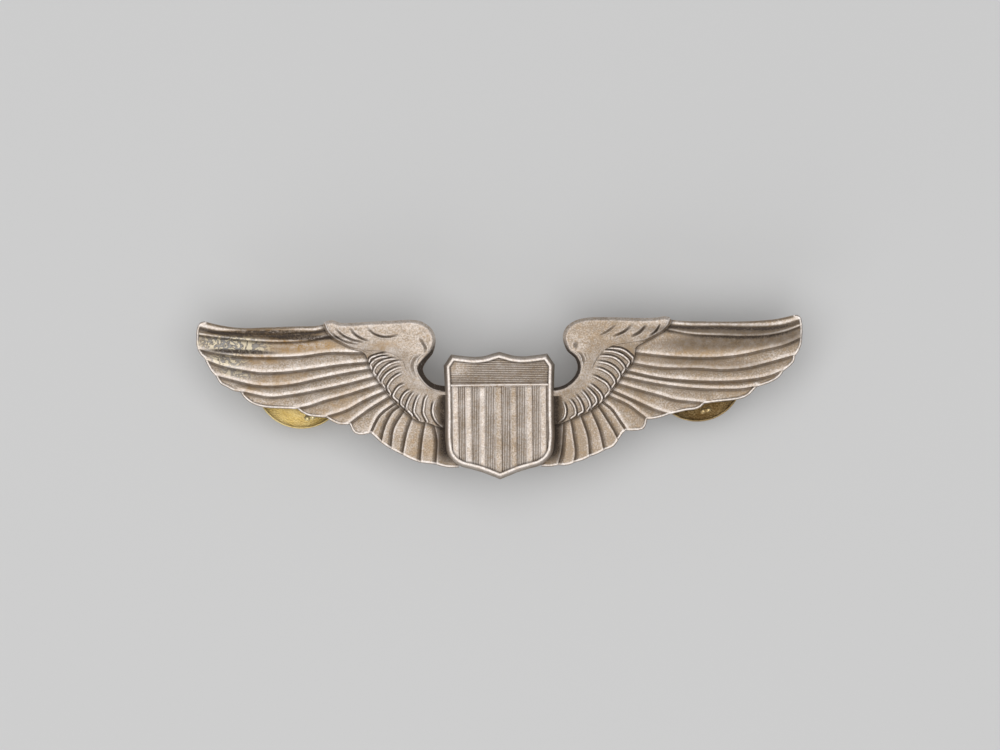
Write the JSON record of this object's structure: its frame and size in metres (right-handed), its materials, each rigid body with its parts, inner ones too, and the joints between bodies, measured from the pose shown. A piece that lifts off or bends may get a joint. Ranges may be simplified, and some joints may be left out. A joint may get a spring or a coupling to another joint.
{
  "type": "pilot wings pin",
  "caption": "Struck metal wings badge with an applied shield, held through cloth by pin posts and squeeze-release butterfly clutches.",
  "frame": {"origin": "middle of the badge's footprint, on the surface that its clutches stand on", "axes": "+X towards the viewer's right along the span, +Y towards the badge's top edge, +Z out of its face; the badge lies face up on its clutches"},
  "size_m": [0.0762, 0.0204, 0.0119],
  "materials": {
    "aged_silver": "struck silver, bright on the worn ridges and tarnished brown to black in the recesses",
    "worn_silver": "satin struck silver, worn pale on the raised stripes and rim",
    "clutch_brass": "drawn sheet brass, lightly tarnished",
    "spring_brass": "rolled spring brass, dull",
    "nickel_brass": "turned pin wire, plated and worn"
  },
  "bodies": {
    "badge": {"wings_plate": "aged_silver", "shield": "worn_silver", "left_post": "nickel_brass", "right_post": "nickel_brass"},
    "left_clutch": {"left_clutch_disc": "clutch_brass", "left_clutch_hub": "clutch_brass", "left_clutch_spring": "spring_brass"},
    "left_upper_ear": {"left_clutch_ear_upper": "spring_brass"},
    "left_lower_ear": {"left_clutch_ear_lower": "spring_brass"},
    "right_clutch": {"right_clutch_disc": "clutch_brass", "right_clutch_hub": "clutch_brass", "right_clutch_spring": "spring_brass"},
    "right_upper_ear": {"right_clutch_ear_upper": "spring_brass"},
    "right_lower_ear": {"right_clutch_ear_lower": "spring_brass"}
  },
  "joints": [
    {"name": "left_clutch_slide", "type": "slide", "parent": "badge", "child": "left_clutch", "axis": [0, 0, -1], "range_m": [0, 0.0042]},
    {"name": "left_upper_ear_squeeze", "type": "hinge", "parent": "left_clutch", "child": "left_upper_ear", "pos_m": [-0.025, 0.0047, 0.0031], "axis": [-1, 0, 0], "range_deg": [0, 8], "stiffness_Nm_per_rad": 0.1, "deforming": ["left_clutch_spring"]},
    {"name": "left_lower_ear_squeeze", "type": "hinge", "parent": "left_clutch", "child": "left_lower_ear", "pos_m": [-0.025, -0.0002, 0.0031], "axis": [1, 0, 0], "range_deg": [0, 8], "stiffness_Nm_per_rad": 0.1},
    {"name": "right_clutch_slide", "type": "slide", "parent": "badge", "child": "right_clutch", "axis": [0, 0, -1], "range_m": [0, 0.0042]},
    {"name": "right_upper_ear_squeeze", "type": "hinge", "parent": "right_clutch", "child": "right_upper_ear", "pos_m": [0.025, 0.0051, 0.0031], "axis": [-1, 0, 0], "range_deg": [0, 8], "stiffness_Nm_per_rad": 0.1, "deforming": ["right_clutch_spring"]},
    {"name": "right_lower_ear_squeeze", "type": "hinge", "parent": "right_clutch", "child": "right_lower_ear", "pos_m": [0.025, 0.0002, 0.0031], "axis": [1, 0, 0], "range_deg": [0, 8], "stiffness_Nm_per_rad": 0.1}
  ]
}
